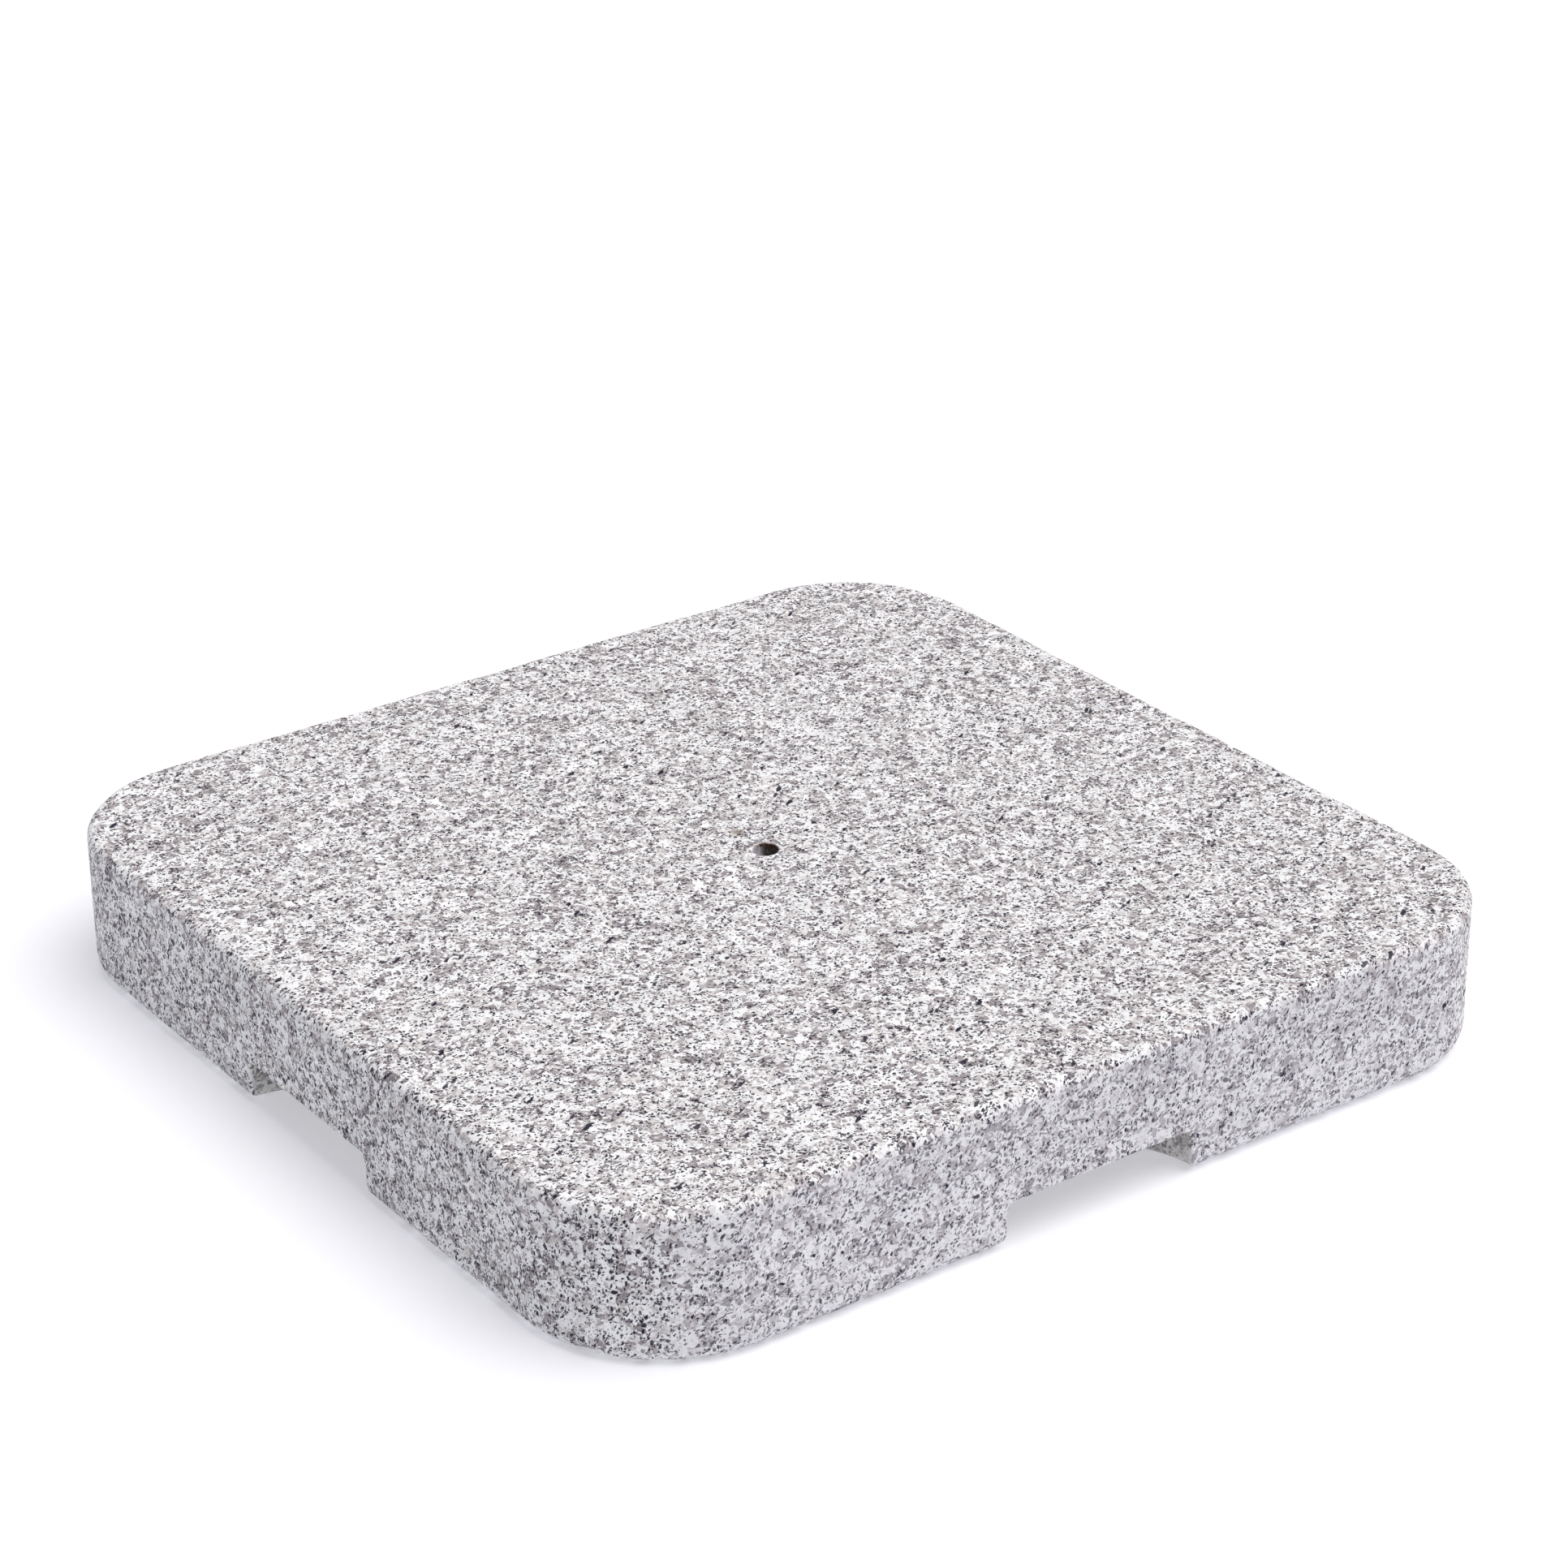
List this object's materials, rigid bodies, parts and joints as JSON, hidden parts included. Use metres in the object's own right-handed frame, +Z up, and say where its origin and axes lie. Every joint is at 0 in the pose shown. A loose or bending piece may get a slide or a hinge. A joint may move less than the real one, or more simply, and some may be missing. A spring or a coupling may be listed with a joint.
{
  "type": "parasol base slab",
  "caption": "Square granite ballast slab with round corners, a central bolt hole and a hand-hold under each side.",
  "frame": {"origin": "centre of the underside, on the floor and on the bolt hole's axis", "axes": "+Z up along the bolt hole, +X and +Y square to the sides"},
  "size_m": [0.7, 0.7, 0.1],
  "materials": {
    "granite": "matt honed"
  },
  "bodies": {
    "root": {"granite_slab": "granite"}
  },
  "joints": []
}
